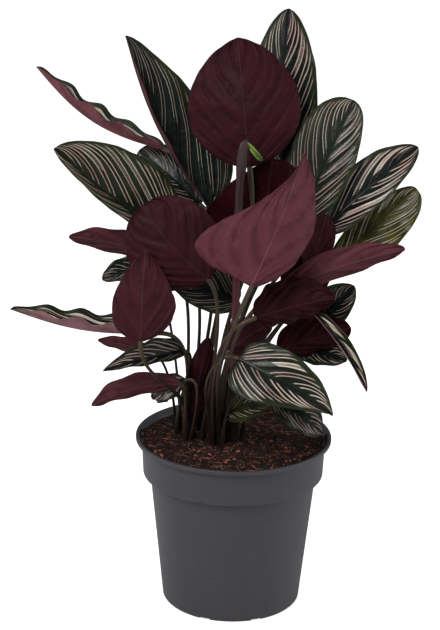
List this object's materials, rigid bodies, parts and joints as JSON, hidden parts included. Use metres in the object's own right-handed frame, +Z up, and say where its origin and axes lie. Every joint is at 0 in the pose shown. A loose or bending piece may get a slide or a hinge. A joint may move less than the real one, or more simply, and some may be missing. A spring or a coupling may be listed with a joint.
{
  "type": "potted calathea",
  "caption": "Potted pinstripe calathea: striped green leaves with purple undersides on thin stalks, in a round tapered plastic nursery pot filled with potting mix.",
  "frame": {"origin": "centre of the pot's base, on the surface that the pot stands on", "axes": "+Z is up along the pot's axis; -Y is the side that the plant is viewed from, with +X to the viewer's right"},
  "size_m": [0.3845, 0.2107, 0.5752],
  "materials": {
    "pot_plastic": "satin dark grey moulded polypropylene",
    "potting_mix": "rough dark brown bark and coir chips",
    "leaf_blade": "waxy dark green with paired pink pinstripes above, satin burgundy below",
    "leaf_stalk": "satin brown green, flushed magenta",
    "young_leaf": "satin green, grey or burgundy, striped"
  },
  "bodies": {
    "root": {"nursery_pot": "pot_plastic", "potting_mix": "potting_mix", "blade_top_centre": "leaf_blade", "stalk_top_centre": "leaf_stalk", "blade_top_right": "leaf_blade", "stalk_top_right": "leaf_stalk", "blade_upper_left": "leaf_blade", "stalk_upper_left": "leaf_stalk", "blade_far_left_high": "leaf_blade", "stalk_far_left_high": "leaf_stalk", "blade_left_broad": "leaf_blade", "stalk_left_broad": "leaf_stalk", "blade_left_back": "leaf_blade", "stalk_left_back": "leaf_stalk", "blade_left_arching": "leaf_blade", "stalk_left_arching": "leaf_stalk", "blade_left_inner": "leaf_blade", "stalk_left_inner": "leaf_stalk", "blade_left_hanging": "leaf_blade", "stalk_left_hanging": "leaf_stalk", "blade_left_narrow": "leaf_blade", "stalk_left_narrow": "leaf_stalk", "blade_left_long": "leaf_blade", "stalk_left_long": "leaf_stalk", "blade_left_low": "leaf_blade", "stalk_left_low": "leaf_stalk", "blade_left_lowest": "leaf_blade", "stalk_left_lowest": "leaf_stalk", "blade_front_centre": "leaf_blade", "stalk_front_centre": "leaf_stalk", "blade_centre_back": "leaf_blade", "stalk_centre_back": "leaf_stalk", "blade_right_tall": "leaf_blade", "stalk_right_tall": "leaf_stalk", "blade_right_outer": "leaf_blade", "stalk_right_outer": "leaf_stalk", "blade_right_lime": "leaf_blade", "stalk_right_lime": "leaf_stalk", "blade_right_long": "leaf_blade", "stalk_right_long": "leaf_stalk", "blade_right_shaded": "leaf_blade", "stalk_right_shaded": "leaf_stalk", "blade_right_small": "leaf_blade", "stalk_right_small": "leaf_stalk", "blade_right_dark": "leaf_blade", "stalk_right_dark": "leaf_stalk", "blade_front_right": "leaf_blade", "stalk_front_right": "leaf_stalk", "young_leaf_rolled_shoot": "young_leaf", "young_leaf_left_small": "young_leaf", "young_leaf_left_slim": "young_leaf", "young_leaf_left_ragged": "young_leaf", "young_leaf_inner_upright": "young_leaf", "young_leaf_right_drooping": "young_leaf", "young_leaf_rim_right": "young_leaf", "young_leaf_crown_front": "young_leaf", "young_leaf_centre_small": "young_leaf", "young_leaf_right_inner": "young_leaf", "young_leaf_right_core": "young_leaf", "young_leaf_right_low": "young_leaf"}
  },
  "joints": []
}
